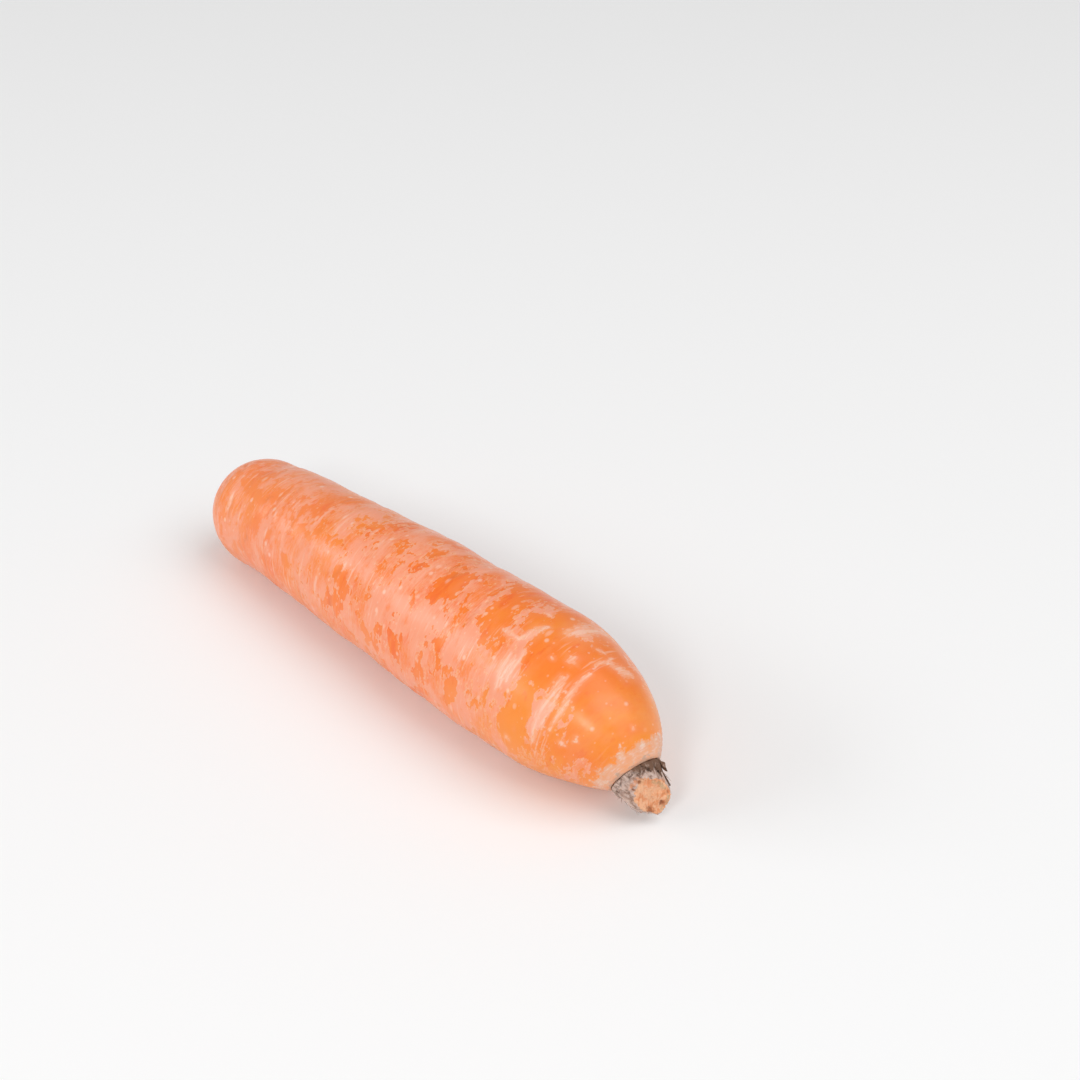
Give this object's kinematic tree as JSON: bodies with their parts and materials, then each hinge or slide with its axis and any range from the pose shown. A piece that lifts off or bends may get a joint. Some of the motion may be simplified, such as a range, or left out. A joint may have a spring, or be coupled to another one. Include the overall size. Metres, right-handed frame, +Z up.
{
  "type": "carrot",
  "caption": "Blunt, slightly crooked orange root vegetable lying on its side, with the dried stub of its cut leaf stalks at the crown.",
  "frame": {"origin": "bottom centre of the box round the whole carrot as it lies on a flat surface", "axes": "+X along the root from its blunt tip to its crown, +Z up from the surface it lies on"},
  "size_m": [0.167, 0.0382, 0.0378],
  "materials": {
    "skin": "orange root skin, waxy and smooth at the shoulder, with a thin dry pinkish film in patches along the body",
    "dried_stalk": "dry grey-brown leaf stalk fibre, with a tan cut face"
  },
  "bodies": {
    "root": {"root": "skin", "stalk_stub": "dried_stalk"}
  },
  "joints": []
}
